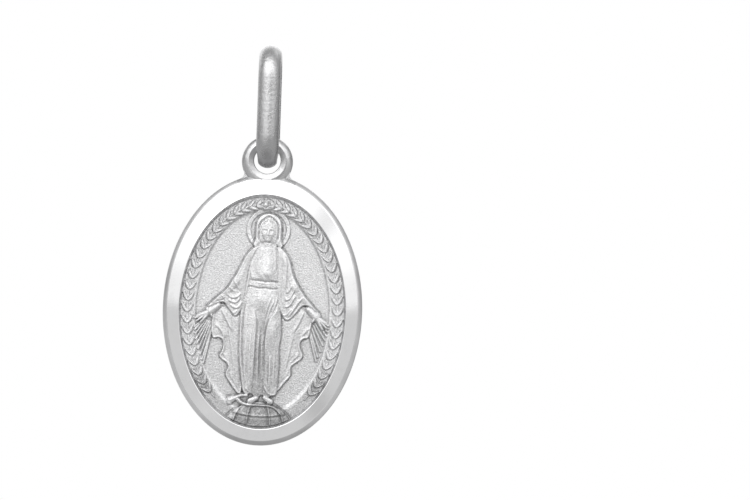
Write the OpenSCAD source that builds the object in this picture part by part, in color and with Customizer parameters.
// Oval religious medal with a ring eye and a closed hanging loop
// Millimetres, Z up, the front of the medal faces -Y
// The origin is the top of the inside of the loop, where a chain bears

/* [Medal] */
// Width of the oval
medal_w = 13.46; // [10:0.02:20]
// Height of the oval without its eye
medal_h = 18.3; // [14:0.1:26]
// Half of the thickness behind the middle plane
back_depth = 0.5; // [0.3:0.05:1]
// Height of the rim crest in front of the middle plane
rim_height = 0.66; // [0.5:0.02:1.2]
// Height of the matte band round the figure
band_height = 0.3; // [0.1:0.02:0.5]
// Height of the dished field behind the figure
field_height = 0.22; // [0.05:0.01:0.4]
// Width of the sloping mirror rim at the sides
rim_w = 1.07; // [0.6:0.01:2]
// How much lower the opening of the rim sits than the oval
rim_drop = 0.12; // [0:0.01:0.3]

/* [Eye] */
// Outer radius of the eye
eye_r = 1.72; // [1.2:0.02:2.4]
// Radius of the hole through the eye
hole_r = 0.9; // [0.6:0.01:1.3]
// Height of the hole centre above the middle of the oval
hole_up = 10.09; // [8:0.01:14]
// How much lower the eye centre sits than the hole centre
eye_drop = 0.07; // [0:0.01:0.2]
// Front of the eye ahead of the middle plane
eye_front = 0.46; // [0.3:0.02:0.7]

/* [Loop] */
// Width of the loop wire seen from the front
wire_w = 1.6; // [1:0.02:2.2]
// Width of the loop wire where it passes the eye
wire_foot_w = 1.31; // [0.9:0.01:1.6]
// Thickness of the loop wire
wire_t = 1.25; // [0.8:0.05:1.6]
// Radius of the inside of the loop bends
loop_in_r = 1; // [0.7:0.05:2]
// Height of the space inside the loop
loop_in_h = 5.8; // [4:0.1:9]
// Gap kept between the loop and the top of the hole
hang_gap = 0.16; // [0.02:0.01:0.3]

/* [Relief] */
// Turn of the struck figure on the oval, to the right at its head, in degrees
strike_turn = 1.3; // [-4:0.1:4]
// Place of the struck figure to the right of the middle
strike_side = 0.12; // [-0.3:0.01:0.3]
// Factor on the height of the figure
figure_relief = 1; // [0.5:0.05:1.5]
// Height of the border motifs
border_relief = 0.16; // [0.1:0.01:0.25]
// Height of the ornament on the back
back_relief = 0.22; // [0.1:0.01:0.35]

/* [Hidden] */
SIDES = 96;
half_w = medal_w / 2;
half_h = medal_h / 2;
hole_z = -loop_in_h - hole_r + hang_gap;
medal_z = hole_z - hole_up;
wire_crown_r = 0.8;
wire_inner_r = 1.1;
sunk = 0.1;

// One row for each ring of the oval from back to front
// [half width, half height, centre moved up, height toward the viewer]
oval_rings = [
  [half_w - 0.06, half_h - 0.06, 0, -back_depth],
  [half_w, half_h, 0, -back_depth + 0.07],
  [half_w, half_h, 0, 0.18],
  [half_w - 0.1, half_h - 0.1, 0, 0.3],
  [half_w - 0.29, half_h - 0.29, 0, 0.42],
  [half_w - rim_w, half_h - rim_w - 0.13, -rim_drop, rim_height],
  [half_w - rim_w - 0.05, half_h - rim_w - 0.2, -rim_drop, rim_height - 0.03],
  [half_w - rim_w - 0.17, half_h - rim_w - 0.37, -rim_drop, band_height],
  [half_w - 2.15, half_h - 2.2, -0.15, band_height],
  [half_w - 2.33, half_h - 2.38, -0.15, field_height]
];

// Outline of the figure, one row for each height, top to bottom
// [height, left edge, gown left, gown right, right edge]
figure_rows = [
  [6.52, -0.3, -0.12, 0.1, 0.26],
  [6.38, -0.58, -0.3, 0.28, 0.55],
  [6.05, -0.82, -0.46, 0.45, 0.8],
  [5.5, -0.9, -0.52, 0.52, 0.9],
  [4.9, -0.88, -0.46, 0.46, 0.92],
  [4.5, -0.86, -0.3, 0.3, 0.94],
  [4.2, -1, -0.42, 0.42, 1.04],
  [3.85, -1.28, -0.78, 0.78, 1.34],
  [3.4, -1.53, -0.98, 0.95, 1.58],
  [2.6, -1.88, -1.05, 0.92, 1.82],
  [2, -2.19, -1.08, 0.84, 2.1],
  [1.7, -2.37, -1.08, 0.78, 2.32],
  [1.35, -2.62, -1.16, 0.82, 2.58],
  [0.75, -3.2, -1.36, 0.93, 3],
  [0.12, -3.8, -1.47, 1.03, 3.62],
  [-0.25, -4.14, -1.52, 1.12, 3.96],
  [-0.8, -4.56, -1.55, 1.18, 4.4],
  [-1, -3.55, -1.56, 1.2, 3.34],
  [-2.06, -3.38, -1.57, 1.2, 2.92],
  [-2.33, -2.9, -1.56, 1.15, 2.6],
  [-3.05, -2.84, -1.5, 1.18, 2.74],
  [-3.5, -2.5, -1.49, 1.21, 2.42],
  [-3.99, -2.27, -1.46, 1.22, 2.04],
  [-4.37, -2.4, -1.4, 1.22, 1.97],
  [-4.9, -2.14, -1.32, 1.2, 1.66],
  [-5.38, -1.78, -1.3, 1.18, 1.42],
  [-5.7, -1.5, -1.2, 1.1, 1.3],
  [-6.2, -1.1, -0.7, 0.8, 1.1]
];

// Rays falling from the hands, seen from the front
// [start across, start up, end across, end up]
rays = [
  [-3.6, -0.5, -4.62, -1.3],
  [-3.55, -0.55, -4.58, -1.86],
  [-3.5, -0.6, -4.42, -2.42],
  [-3.45, -0.62, -4.3, -2.9],
  [-3.4, -0.64, -4.12, -3.28],
  [-3.35, -0.66, -3.98, -3.74],
  [-3.3, -0.68, -3.7, -3.6],
  [-3.25, -0.7, -3.45, -3.3],
  [3.45, -0.5, 4.46, -1.4],
  [3.4, -0.55, 4.3, -1.96],
  [3.35, -0.58, 4.05, -2.35],
  [3.3, -0.6, 3.96, -2.78],
  [3.25, -0.62, 3.72, -3.1],
  [3.2, -0.64, 3.58, -3.42],
  [3.12, -0.66, 3.3, -3.3],
  [3.05, -0.68, 3.02, -3]
];

// Six-pointed stars round the back, seen from the back
// [across, up]
stars = [
  [-0.19, 6.71], [2.51, 5.38], [3.89, 2.65], [4.32, -0.35], [3.94, -3.3], [2.61, -5.96],
  [-0.16, -7.42], [-2.91, -5.82], [-4.29, -3.28], [-4.72, -0.17], [-4.25, 2.81], [-2.83, 5.43]
];
back_mid = -0.17;

function mix(a, b, t) = a + (b - a) * t;
function column(k) = [for (r = figure_rows) [r[0], r[k]]];
edge_l = column(1);
gown_l = column(2);
gown_r = column(3);
edge_r = column(4);
function hill(t) = max(0, 1 - t * t);
function ring_points(r) = [
  for (i = [0 : SIDES - 1]) [r[0] * cos(360 * i / SIDES), r[2] + r[1] * sin(360 * i / SIDES), r[3]]
];

// Faces the front of the medal, its own middle at the origin
module facing_front() {
  translate([0, 0, medal_z]) rotate([90, 0, 0]) children();
}

// The oval with its rim, band and dished field as one loft
module oval_body() {
  n = len(oval_rings);
  points = [for (r = oval_rings) each ring_points(r)];
  back_face = [for (i = [0 : SIDES - 1]) i];
  front_face = [for (i = [0 : SIDES - 1]) (n - 1) * SIDES + SIDES - 1 - i];
  walls = [
    for (k = [0 : n - 2]) for (i = [0 : SIDES - 1])
      let (a = k * SIDES + i, b = k * SIDES + (i + 1) % SIDES)
        each [[a, a + SIDES, b + SIDES], [a, b + SIDES, b]]
  ];
  polyhedron(points, concat([back_face, front_face], walls), convexity = 6);
}

// The eye above the oval, drawn solid
module eye_body() {
  translate([0, hole_up - eye_drop, 0]) rotate_extrude($fn = 96)
    polygon([
      [0, -back_depth], [eye_r - 0.06, -back_depth], [eye_r, -back_depth + 0.06],
      [eye_r, 0.16], [eye_r - 0.14, 0.3], [eye_r - 0.36, eye_front - 0.03], [eye_r - 0.5, eye_front],
      [0, eye_front]
    ]);
}

// The metal that blends the eye into the oval on one side
module eye_web(side) {
  mirror([side < 0 ? 1 : 0, 0, 0]) translate([0, 0, -back_depth]) difference() {
    linear_extrude(back_depth + 0.16)
      polygon([[1.1, 8.5], [1.1, 9.2], [1.567, 9.333], [1.782, 8.824], [1.75, 8.5]]);
    translate([1.915, 9.18, -1]) cylinder(r = 0.38, h = 3, $fn = 48);
  }
}

// The hole through the eye with its broken edges
module eye_hole() {
  translate([0, hole_up, -2]) cylinder(r = hole_r, h = 4, $fn = 72);
  translate([0, hole_up, eye_front - 0.12]) cylinder(r1 = hole_r, r2 = hole_r + 0.24, h = 0.24, $fn = 72);
  translate([0, hole_up, -back_depth - 0.12]) cylinder(r1 = hole_r + 0.24, r2 = hole_r, h = 0.24, $fn = 72);
}

// A raised form with a flat foot sunk in the metal, steps are [size, height] and the last is its top
module raised(outline, steps, tip, foot) {
  n = len(outline);
  m = len(steps);
  points = concat(
    [for (p = outline) [p[0], p[1], -foot]],
    [for (s = steps) for (p = outline) [p[0] * s[0], p[1] * s[0], s[1]]],
    [[0, 0, tip], [0, 0, -foot]]
  );
  apex = n * (m + 1);
  walls = [
    for (k = [0 : m - 1]) for (i = [0 : n - 1])
      let (a = k * n + i, b = k * n + (i + 1) % n)
        each [[a, a + n, b + n], [a, b + n, b]]
  ];
  cap = [for (i = [0 : n - 1]) [m * n + i, apex, m * n + (i + 1) % n]];
  floor_fan = [for (i = [0 : n - 1]) [i, (i + 1) % n, apex + 1]];
  polyhedron(points, concat(walls, cap, floor_fan), convexity = 4);
}

// Lower edge of the sleeve and hand on each side, drawn from the body outward
// [distance from the middle, height]
sleeve_low_l = [[1.1, -0.2], [1.94, -0.52], [2.4, -0.3], [2.88, 0.04], [3.58, -0.34], [4.1, -0.66], [4.7, -1]];
sleeve_low_r = [[1.1, -0.35], [1.6, -0.6], [2.1, -0.1], [2.58, 0.36], [3.26, -0.3], [3.9, -0.66], [4.6, -1]];

// Heights of the figure above the field, by zone of its outline
// The three zones are the near side, the gown or face, and the far side
function fold(x, y, lean, pitch, deep) = deep * cos(360 * (x + lean * y) / pitch);
function ease(a, b, x) = let (t = min(1, max(0, (x - a) / (b - a)))) t * t * (3 - 2 * t);
function gown_height(y, t) =
  let (x = t * 1.15)
  y > 4.5 ? 0.3 + 0.14 * hill(t) :
  y > 4.2 ? 0.24 + 0.06 * hill(t) :
  y > 2.02 ? 0.32 + 0.12 * hill(t) + fold(x, y, 0.1 * sign(x), 0.62, 0.02) :
  y > 1.48 ? 0.42 + 0.06 * hill(t) :
  mix(0.22, 0.3, ease(-5.75, -4.9, y)) + 0.12 * hill(t) + fold(x, y, 0.05 * x, 0.52, 0.045)
    + 0.07 * hill(min(1, norm([(x - 0.45) / 0.6, (y + 2.3) / 1.7])));
function veil_height(t) = 0.1 + 0.24 * sin(95 * t);
function arm_height(x, y, t) =
  0.16 + 0.2 * sin(180 * min(1, 0.12 + 0.78 * t)) + fold(abs(x), y, -0.75, 1.3, 0.03 * ease(0, 0.3, t));
function cloak_height(y, t) = 0.1 + 0.05 * t + fold(t, y, 0.1, 0.5, 0.035 * sin(180 * min(1, t * 1.1)));
function side_height(x, y, t) =
  let (over = y - lookup(abs(x), x < 0 ? sleeve_low_l : sleeve_low_r))
  y > 4.3 ? veil_height(t) :
  over > 0.1 ? arm_height(x, y, t) + 0.05 * ease(0.5, 0.1, over) :
  over > -0.06 ? 0.24 :
  abs(x) < 3.5 ? cloak_height(y, t) : 0.04;

// The standing figure, rows down and columns across
module figure() {
  rows = 62;
  side_cells = 9;
  mid_cells = 10;
  cells = 2 * side_cells + mid_cells;
  w = cells + 1;
  top = figure_rows[0][0];
  low = figure_rows[len(figure_rows) - 1][0];
  grid = [
    for (i = [0 : rows]) let (
      y = mix(top, low, i / rows),
      a = lookup(y, edge_l), b = lookup(y, gown_l), c = lookup(y, gown_r), d = lookup(y, edge_r),
      flat = i == 0 || i == rows
    ) for (j = [0 : cells]) let (
      s = j <= side_cells ? j / side_cells : j >= cells - side_cells ? (cells - j) / side_cells : 1,
      t = 2 * (j - side_cells) / mid_cells - 1,
      x = j < side_cells ? mix(a, b, s) : j > cells - side_cells ? mix(d, c, s) : mix(b, c, (t + 1) / 2),
      h = flat || j == 0 || j == cells ? (abs(x) > 3.6 ? 0.05 : 0.1) :
        j < side_cells || j > cells - side_cells ? side_height(x, y, s) : gown_height(y, t)
    ) [x, y, h * figure_relief]
  ];
  feet = [
    for (i = [0 : rows]) let (y = mix(top, low, i / rows))
      each [[lookup(y, edge_l), y, -sunk], [lookup(y, edge_r), y, -sunk]]
  ];
  f = len(grid);
  last = rows * w;
  skin = [
    for (i = [0 : rows - 1]) for (j = [0 : cells - 1]) let (a = i * w + j)
      each [[a, a + 1, a + w + 1], [a, a + w + 1, a + w]]
  ];
  left_wall = [
    for (i = [0 : rows - 1]) each [
      [i * w, (i + 1) * w, f + 2 * i], [(i + 1) * w, f + 2 * i + 2, f + 2 * i]
    ]
  ];
  right_wall = [
    for (i = [0 : rows - 1]) each [
      [i * w + cells, f + 2 * i + 1, (i + 1) * w + cells],
      [(i + 1) * w + cells, f + 2 * i + 1, f + 2 * i + 3]
    ]
  ];
  under = [
    for (i = [0 : rows - 1]) each [
      [f + 2 * i, f + 2 * i + 2, f + 2 * i + 3], [f + 2 * i, f + 2 * i + 3, f + 2 * i + 1]
    ]
  ];
  top_wall = concat(
    [for (j = [0 : cells - 1]) [f, j + 1, j]],
    [[f, f + 1, cells]]
  );
  low_wall = concat(
    [for (j = [0 : cells - 1]) [f + 2 * rows, last + j, last + j + 1]],
    [[f + 2 * rows, last + cells, f + 2 * rows + 1]]
  );
  translate([0, -0.07, field_height])
    polyhedron(concat(grid, feet),
      concat(skin, left_wall, right_wall, under, top_wall, low_wall), convexity = 8);
}

// The open ring behind the head
module halo() {
  translate([0, 5.41, field_height]) rotate([0, 0, -43])
    rotate_extrude(angle = 266, $fn = 96)
      polygon([[1.2, -0.07], [1.2, 0.05], [1.26, 0.11], [1.4, 0.11], [1.46, 0.05], [1.46, -0.07]]);
}

// One thin ray of light
module ray(r, foot) {
  dx = r[2] - r[0];
  dy = r[3] - r[1];
  l = norm([dx, dy]);
  translate([r[0], r[1] - 0.07, field_height]) rotate([0, 0, atan2(dy, dx)])
    polyhedron(
      [[0, -0.05, -foot], [l, -0.04, -foot], [l, 0.04, -foot], [0, 0.05, -foot], [0.1, 0, 0.1], [l - 0.1, 0, 0.07]],
      [[0, 1, 2, 3], [0, 5, 1], [0, 4, 5], [2, 4, 3], [2, 5, 4], [0, 3, 4], [1, 5, 2]]
    );
}

// The dome of the globe under the feet, cut by the wall of the rim
module globe() {
  intersection() {
    translate([0, -8.74, field_height]) rotate_extrude($fn = 96)
      polygon([
        [0, -0.13], [2.54, -0.13], [2.54, 0.03], [2.44, 0.12], [2.2, 0.19], [1.8, 0.25], [1.2, 0.29],
        [0.6, 0.31], [0, 0.32]
      ]);
    translate([0, -rim_drop, 0]) linear_extrude(1)
      polygon([for (i = [0 : 71]) [5.65 * cos(5 * i), 7.7 * sin(5 * i)]]);
  }
}

// The feet and the curled snake on the globe
module feet() {
  oval = [for (i = [0 : 11]) [0.42 * cos(30 * i), 0.22 * sin(30 * i)]];
  translate([-0.42, -6.25, field_height]) rotate([0, 0, 18]) raised(oval, [[1, 0.14], [0.8, 0.3]], 0.38, 0.08);
  translate([0.52, -6.22, field_height]) rotate([0, 0, -14]) raised(oval, [[1, 0.14], [0.8, 0.3]], 0.38, 0.085);
  translate([-1.25, -6.62, field_height + 0.1]) rotate([0, 0, 10])
    rotate_extrude(angle = 200, $fn = 48)
      polygon([[0.42, -0.24], [0.42, 0.02], [0.5, 0.12], [0.62, 0.12], [0.7, 0.02], [0.7, -0.24]]);
}

// Two sprays of paired leaves on the band that rise from below and meet at a rosette, nothing written
module border() {
  pairs = 18;
  rx = half_w - 1.67;
  ry = half_h - 1.9;
  leaf = [[0.35, 0], [-0.02, 0.14], [-0.33, 0], [-0.02, -0.14]];
  rosette = [
    for (i = [0 : 9]) let (r = i % 2 == 0 ? 0.42 : 0.31) [r * cos(36 * i + 18), r * sin(36 * i + 18)]
  ];
  for (side = [-1, 1]) for (i = [1 : pairs]) {
    a = 90 - side * (7 + 132 * i / pairs);
    growth = atan2(ry * cos(a), -rx * sin(a)) + (side > 0 ? 0 : 180);
    translate([rx * cos(a), ry * sin(a) - 0.14, band_height])
      for (lean = [-32, 32]) rotate([0, 0, growth + lean]) translate([0.37, 0, 0])
        raised(leaf, [[1, 0.03]], border_relief, 0.08);
  }
  translate([0, ry - 0.14, band_height])
    raised(rosette, [[1, 0.06], [0.5, border_relief - 0.02]], border_relief - 0.08, 0.08);
}

// One six-pointed star of the back
module star() {
  outline = [for (i = [0 : 11]) let (r = i % 2 == 0 ? 0.68 : 0.27) [-r * sin(30 * i), r * cos(30 * i)]];
  raised(outline, [[1, 0.02]], back_relief, 0.05);
}

// A bar with a ridged section along its length, lying across
module ridge(l, w, h, foot) {
  translate([-l / 2, 0, 0]) rotate([90, 0, 90]) linear_extrude(l)
    polygon([[-w / 2, -foot], [w / 2, -foot], [w / 2, h * 0.45], [w * 0.3, h], [-w * 0.3, h], [-w / 2, h * 0.45]]);
}

// Three small lobes that end a bar
module trefoil(r, h, foot) {
  round_lobe = [for (i = [0 : 9]) [r * cos(36 * i), r * sin(36 * i)]];
  translate([r * 1.1, 0, 0]) raised(round_lobe, [[1, h * 0.5], [0.7, h * 0.9]], h, foot);
  translate([0, r * 1.15, 0]) raised(round_lobe, [[1, h * 0.5], [0.7, h * 0.9]], h, foot - 0.004);
  translate([0, -r * 1.15, 0]) raised(round_lobe, [[1, h * 0.5], [0.7, h * 0.9]], h, foot - 0.008);
}

// A flared end with three points
module flared_end(h, foot) {
  outline = [
    [0.46, 0], [0.26, 0.18], [0.22, 0.44], [0.08, 0.48], [-0.06, 0.33], [-0.3, 0.28],
    [-0.3, -0.28], [-0.06, -0.33], [0.08, -0.48], [0.22, -0.44], [0.26, -0.18]
  ];
  raised(outline, [[1, h * 0.5], [0.7, h]], h + 0.03, foot);
}

// The cross of the back, its lower shaft ribbed
module cross() {
  h = back_relief;
  boss = [for (i = [0 : 11]) [0.34 * cos(30 * i), 0.34 * sin(30 * i)]];
  translate([0, 3.2, 0]) rotate([0, 0, 90]) ridge(4.6, 0.68, h - 0.03, 0.05);
  translate([0, 4, 0]) ridge(2.9, 0.6, h - 0.03, 0.055);
  translate([0, 4, 0]) raised(boss, [[1, h + 0.02], [0.6, h + 0.08]], h + 0.09, 0.06);
  translate([0, 5.35, 0]) rotate([0, 0, 90]) flared_end(h, 0.07);
  translate([-1.32, 4, 0]) rotate([0, 0, 180]) flared_end(h, 0.074);
  translate([1.32, 4, 0]) flared_end(h, 0.078);
  for (i = [0 : 8]) translate([0, 3.3 - 0.27 * i, 0]) ridge(0.54, 0.14, h + 0.02, 0.04);
}

// Two ribbed palm branches that rise from a knot to either side of the cross
module palms() {
  h = back_relief;
  leaf = [[0.42, 0], [0.2, 0.17], [-0.2, 0.2], [-0.42, 0], [-0.2, -0.2], [0.2, -0.17]];
  for (side = [-1, 1]) mirror([side < 0 ? 1 : 0, 0, 0]) for (i = [0 : 10]) {
    a = -76 + 112 * i / 10;
    s = 1.02 - 0.02 * i;
    translate([2.45 * cos(a) - 0.1, 2.75 * sin(a) + 1.3, 0]) {
      rotate([0, 0, a + 58]) scale(s) translate([0.24, 0, 0]) raised(leaf, [[1, 0.08]], h, 0.05 + 0.002 * i);
      rotate([0, 0, a + 132]) scale(s) translate([0.24, 0, 0]) raised(leaf, [[1, 0.08]], h, 0.051 + 0.002 * i);
    }
  }
  knot = [for (i = [0 : 9]) [0.4 * cos(36 * i), 0.34 * sin(36 * i)]];
  translate([0, -1.32, 0]) raised(knot, [[1, h * 0.6], [0.6, h + 0.04]], h + 0.06, 0.09);
}

// The crossbar under the cross with its three-lobed ends
module lower_bar() {
  h = back_relief;
  translate([0, 0.49, 0]) ridge(4.9, 0.54, h + 0.03, 0.065);
  translate([-2.5, 0.49, 0]) rotate([0, 0, 180]) trefoil(0.25, h + 0.03, 0.075);
  translate([2.5, 0.49, 0]) trefoil(0.25, h + 0.03, 0.075);
}

// One heart with a band of thorns and a flame, its point reaches the lens
heart_half = [
  [0.16, 0.62], [0.42, 0.76], [0.7, 0.68], [0.87, 0.36], [0.86, -0.02], [0.7, -0.42], [0.46, -0.82], [0.2, -1.2]
];
flame_half = [
  [0.12, 0.3], [0.24, 0.66], [0.3, 0.26], [0.5, 0.52], [0.46, 0.08], [0.6, 0.14], [0.5, -0.3], [0.26, -0.5]
];
function both_sides(half, top) = concat(
  [for (i = [len(half) - 1 : -1 : 0]) half[i]],
  [[0, top]],
  [for (p = half) [-p[0], p[1]]]
);
module heart() {
  h = back_relief;
  thorn = [[0.15, 0], [0.05, 0.12], [-0.1, 0.12], [-0.15, 0], [-0.1, -0.12], [0.05, -0.12]];
  raised(both_sides(heart_half, 0.5), [[1, 0.06], [0.84, h * 0.8], [0.5, h + 0.05]], h + 0.08, 0.06);
  translate([0, 1.2, 0]) raised(both_sides(flame_half, 0.62), [[1, 0.05], [0.55, h * 0.9]], h, 0.066);
  for (i = [0 : 6]) let (x = -1.02 + 0.34 * i)
    translate([x, 0.02 - 0.16 * (1 - x * x), 0]) rotate([0, 0, i % 2 == 0 ? 35 : -35])
      raised(thorn, [[1, h + 0.02]], h + 0.1, 0.07 + 0.003 * i);
}

// The little sword and its crossing stroke beside the right heart
module sword() {
  translate([2.4, -3.2, 0]) rotate([0, 0, 48]) ridge(1.7, 0.2, 0.15, 0.05);
  translate([2.34, -3.2, 0]) rotate([0, 0, -52]) ridge(1.15, 0.18, 0.15, 0.055);
}

// A pointed lens, half its width and half its height
function lens_outline(w, h) = concat(
  [for (i = [0 : 11]) let (t = 1 - i / 6) [w * t, h * (1 - t * t)]],
  [for (i = [0 : 11]) let (t = -1 + i / 6) [w * t, -h * (1 - t * t)]]
);

// The oval dish under the hearts, to be cut
module lens_dish() {
  deep = [for (i = [0 : 39]) [1.94 * cos(9 * i), 0.96 * sin(9 * i)]];
  translate([0, -5.76, 0]) raised(deep, [[1.17, 0], [1.2, 0.4]], 0.5, 0.13);
}

// The bare lens that stands in the dish
module lens() {
  translate([0, -5.76, 0]) raised(lens_outline(2.05, 0.88), [[1, -0.09], [0.9, 0.03]], 0.04, 0.3);
}

module back_ornament() {
  for (p = stars) translate([p[0], p[1], 0]) star();
  translate([back_mid, 0, 0]) {
    palms();
    cross();
    lower_bar();
    translate([-1.45, -3.68, 0]) heart();
    translate([1.35, -3.62, 0]) heart();
    sword();
  }
}

// Carries a form from the drawing of the back to the back of the medal
module on_back() {
  translate([0, 0, -back_depth]) rotate([0, 180, 0]) children();
}

module medal() {
  color([0.84, 0.84, 0.85]) facing_front() {
    difference() {
      union() {
        oval_body();
        eye_body();
        eye_web(1);
        eye_web(-1);
        translate([strike_side, 0, 0]) rotate([0, 0, -strike_turn]) {
          figure();
          halo();
          for (k = [0 : len(rays) - 1]) ray(rays[k], 0.06 + 0.003 * k);
          globe();
          feet();
        }
        border();
        on_back() back_ornament();
      }
      eye_hole();
      on_back() translate([back_mid, 0, 0]) lens_dish();
    }
    on_back() translate([back_mid, 0, 0]) lens();
  }
}

// Section of the loop wire, its flatter side toward the inside of the loop
module wire_section() {
  intersection() {
    translate([wire_t - wire_crown_r, 0]) circle(r = wire_crown_r, $fn = 72);
    translate([wire_inner_r, 0]) circle(r = wire_inner_r, $fn = 72);
    translate([0, -wire_w / 2]) square([wire_t, wire_w]);
  }
}

// One bend of the loop, half a turn about an axis across it
module loop_bend() {
  rotate([0, 90, 0]) rotate([0, 0, 90]) rotate_extrude(angle = 180, $fn = 96)
    translate([loop_in_r, 0]) wire_section();
}

// One straight arm of the loop on the front
module loop_arm(l) {
  rotate([0, 0, -90]) linear_extrude(l) translate([loop_in_r, 0]) wire_section();
}

module bail() {
  top_z = -loop_in_r;
  low_z = -loop_in_h + loop_in_r;
  foot_z = -loop_in_h - wire_t;
  color([0.76, 0.76, 0.78]) intersection() {
    union() {
      translate([0, 0, top_z]) loop_bend();
      translate([0, 0, low_z]) mirror([0, 0, 1]) loop_bend();
      translate([0, 0, low_z]) loop_arm(top_z - low_z);
      translate([0, 0, low_z]) mirror([0, 1, 0]) loop_arm(top_z - low_z);
    }
    translate([0, 10, 0]) rotate([90, 0, 0]) linear_extrude(20)
      polygon([
        [-wire_foot_w / 2, foot_z - 1], [wire_foot_w / 2, foot_z - 1], [wire_foot_w / 2, low_z - 1.6],
        [wire_w / 2 + 0.002, low_z - 0.85], [wire_w / 2 + 0.002, 3], [-wire_w / 2 - 0.002, 3],
        [-wire_w / 2 - 0.002, low_z - 0.85], [-wire_foot_w / 2, low_z - 1.6]
      ]);
  }
}

bail();
medal();
